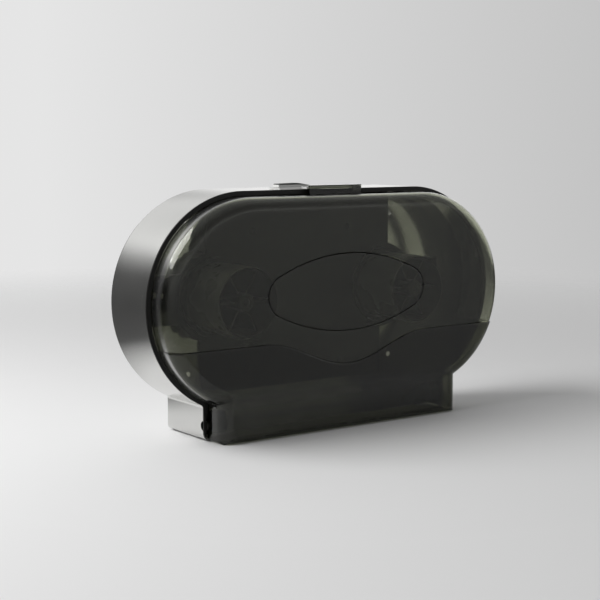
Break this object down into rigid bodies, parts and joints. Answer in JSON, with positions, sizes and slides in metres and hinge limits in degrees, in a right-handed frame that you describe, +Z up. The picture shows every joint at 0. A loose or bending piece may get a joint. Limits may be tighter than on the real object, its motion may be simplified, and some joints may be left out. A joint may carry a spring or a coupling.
{
  "type": "jumbo toilet roll dispenser",
  "caption": "Wall-mounted twin jumbo toilet roll dispenser: metal back shell, smoked drop-down cover, core spindles, serrated outlet and a slide latch on the top edge.",
  "frame": {"origin": "bottom centre of the closed dispenser's bounding box, on the surface it stands on", "axes": "+X along the length to the right as seen from the front, +Y towards the wall, +Z up"},
  "size_m": [0.489, 0.114, 0.28],
  "materials": {
    "shell_steel": "satin sheet metal",
    "black_plastic": "fine moulded grain",
    "smoked_cover": "polished translucent smoke",
    "spindle_plastic": "moulded, slightly glossy",
    "latch_plastic": "moulded, satin",
    "zinc_steel": "zinc plated",
    "tear_steel": "stainless strip"
  },
  "bodies": {
    "root": {"rear_housing": "shell_steel", "rim_frame": "black_plastic", "roll_bracket": "black_plastic", "bracket_screws": "zinc_steel", "axle_left": "zinc_steel", "axle_right": "zinc_steel", "axle_washer_left": "zinc_steel", "axle_washer_right": "zinc_steel", "axle_screw_left": "zinc_steel", "axle_screw_right": "zinc_steel", "hinge_block_left": "black_plastic", "hinge_block_right": "black_plastic", "hinge_block_screws": "zinc_steel", "hinge_pin_left": "zinc_steel", "hinge_pin_right": "zinc_steel", "latch_base": "shell_steel", "latch_base_rivets": "zinc_steel"},
    "cover": {"front_cover": "smoked_cover", "latch_catch": "black_plastic", "tear_bar_left": "tear_steel", "tear_bar_right": "tear_steel", "tear_bar_rivets": "zinc_steel"},
    "spindle_left": {"core_spindle_left": "spindle_plastic"},
    "spindle_right": {"core_spindle_right": "spindle_plastic"},
    "latch_slide": {"latch_slider": "latch_plastic", "latch_retainer": "black_plastic", "latch_screw": "zinc_steel"}
  },
  "joints": [
    {"name": "cover_hinge", "type": "hinge", "parent": "root", "child": "cover", "pos_m": [0, -0.022, 0.0177], "axis": [1, 0, 0], "range_deg": [0, 100]},
    {"name": "spindle_left_spin", "type": "hinge", "parent": "root", "child": "spindle_left", "pos_m": [-0.122, 0.0025, 0.1505], "axis": [0, -1, 0], "continuous": true},
    {"name": "spindle_right_spin", "type": "hinge", "parent": "root", "child": "spindle_right", "pos_m": [0.122, 0.0025, 0.1505], "axis": [0, -1, 0], "continuous": true},
    {"name": "latch_slide", "type": "slide", "parent": "root", "child": "latch_slide", "axis": [1, 0, 0], "range_m": [0, 0.01]}
  ]
}
